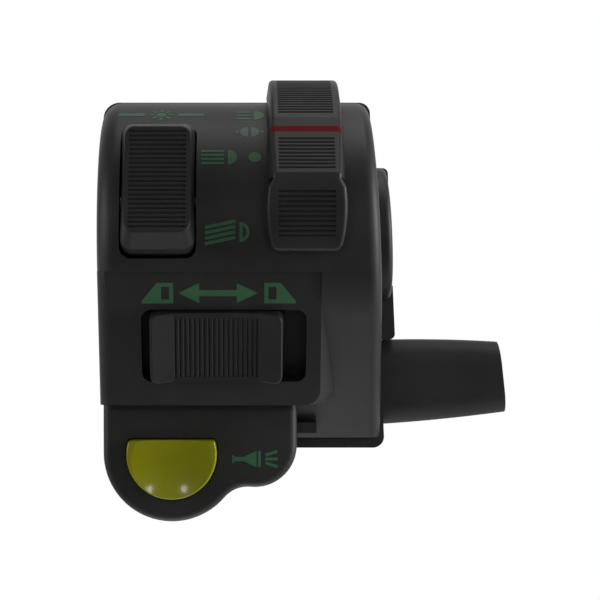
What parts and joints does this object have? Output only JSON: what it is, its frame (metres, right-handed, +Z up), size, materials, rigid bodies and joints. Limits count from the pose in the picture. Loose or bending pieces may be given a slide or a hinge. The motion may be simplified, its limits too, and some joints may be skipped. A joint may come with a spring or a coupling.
{
  "type": "handlebar switch cluster",
  "caption": "Left handlebar switch housing with a dimmer rocker, a turning lights selector, a sliding turn signal switch, a round flat-topped horn button and a rubber cable boot.",
  "frame": {"origin": "on the handlebar's axis, in the middle saddle of the clamp", "axes": "+X along the handlebar, towards its grip-free right end in the picture; -Y towards the rider and the camera; +Z up"},
  "size_m": [0.0872, 0.051, 0.0934],
  "materials": {
    "housing": "fine grained black moulding",
    "grip_plastic": "satin black moulding",
    "boot_rubber": "dull black rubber",
    "yellow_plastic": "semi gloss yellow moulding",
    "red_fill": "dull red fill",
    "marking_green": "flat printed ink",
    "carrier_nylon": "natural nylon",
    "laminate": "brown paper laminate",
    "contact_brass": "bright rolled brass",
    "plated_steel": "zinc plated",
    "ball_steel": "polished ball",
    "spring_steel": "drawn wire"
  },
  "bodies": {
    "housing": {"front_shell": "housing", "rear_shell": "housing", "cable_boot": "boot_rubber", "clamp_screws": "plated_steel", "threaded_inserts": "contact_brass", "base_screws": "plated_steel", "dimmer_pin": "plated_steel", "dimmer_base": "laminate", "dimmer_terminals": "contact_brass", "lights_base": "laminate", "lights_terminals": "contact_brass", "turn_base": "laminate", "turn_terminals": "contact_brass", "horn_base": "laminate", "horn_terminals": "contact_brass"},
    "dimmer": {"dimmer_rocker": "grip_plastic", "dimmer_plunger": "carrier_nylon", "dimmer_spring": "spring_steel"},
    "dimmer_contact": {"dimmer_blade": "contact_brass"},
    "lights": {"lights_knob": "grip_plastic", "lights_index_line": "red_fill", "lights_carrier": "carrier_nylon", "lights_contact": "contact_brass", "lights_detent_ball": "ball_steel", "lights_detent_spring": "spring_steel"},
    "turn": {"turn_slider": "grip_plastic", "turn_carrier": "carrier_nylon", "turn_contact": "contact_brass", "turn_detent_ball": "ball_steel", "turn_detent_spring": "spring_steel"},
    "horn": {"horn_button": "yellow_plastic", "horn_contact": "contact_brass", "horn_spring": "spring_steel"}
  },
  "joints": [
    {"name": "dimmer_rock", "type": "hinge", "parent": "housing", "child": "dimmer", "pos_m": [-0.01672, -0.02183, 0.00544], "axis": [1, 0, 0], "range_deg": [0, 10]},
    {"name": "dimmer_contact_tilt", "type": "hinge", "parent": "housing", "child": "dimmer_contact", "pos_m": [-0.01672, -0.01446, 0.00361], "axis": [1, 0, 0], "range_deg": [-8, 0]},
    {"name": "lights_turn", "type": "hinge", "parent": "housing", "child": "lights", "pos_m": [0.0131, 0, 0], "axis": [1, 0, 0], "range_deg": [-14, 14]},
    {"name": "turn_slide", "type": "slide", "parent": "housing", "child": "turn", "axis": [1, 0, 0], "range_m": [0, 0.004]},
    {"name": "horn_press", "type": "slide", "parent": "housing", "child": "horn", "axis": [0, 1, 0], "range_m": [0, 0.0025], "stiffness_N_per_m": 1200, "springref_m": -0.001, "deforming": ["horn_spring"]}
  ],
  "couplings": [
    {"joint": "dimmer_contact_tilt", "follows": "dimmer_rock", "ratio": -0.8}
  ]
}
